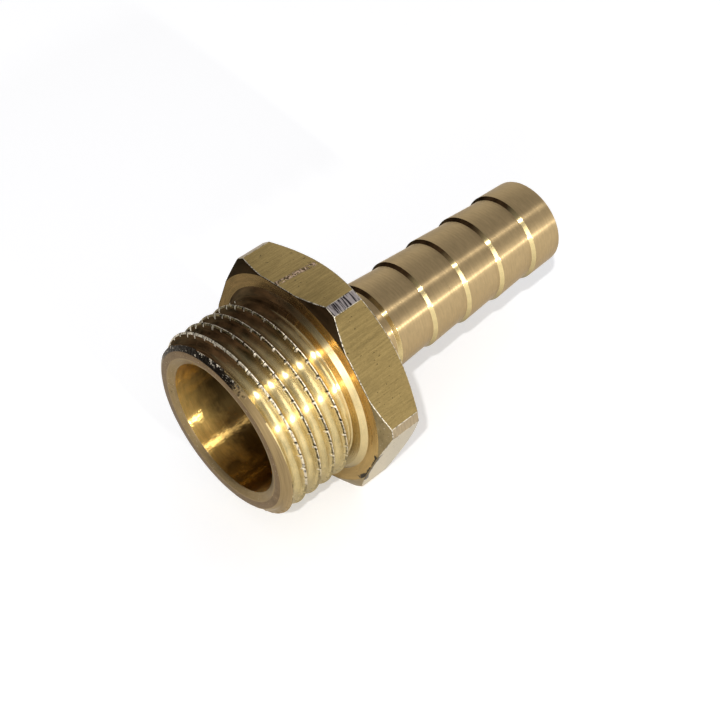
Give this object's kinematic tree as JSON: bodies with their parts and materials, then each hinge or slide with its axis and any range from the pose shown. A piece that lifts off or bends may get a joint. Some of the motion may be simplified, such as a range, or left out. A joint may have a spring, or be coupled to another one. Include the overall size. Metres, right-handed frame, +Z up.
{
  "type": "hose barb tail",
  "caption": "Turned brass adapter that joins a push-on hose to a pipe port: threaded male spigot with a wide bore, spanner hexagon and a barbed tail.",
  "frame": {"origin": "on the surface that the piece lies on, under the middle of its length and of its width: the piece rests on one flat of its hexagon", "axes": "+X along the turning axis, from the threaded end towards the barbed end; +Z up, square to the flat that it rests on; +Y completes the right-handed set and points at a corner of the hexagon"},
  "size_m": [0.046, 0.0278, 0.0246],
  "materials": {
    "brass": "as turned, with drawn flats on the hexagon"
  },
  "bodies": {
    "root": {"hose_tail": "brass"}
  },
  "joints": []
}
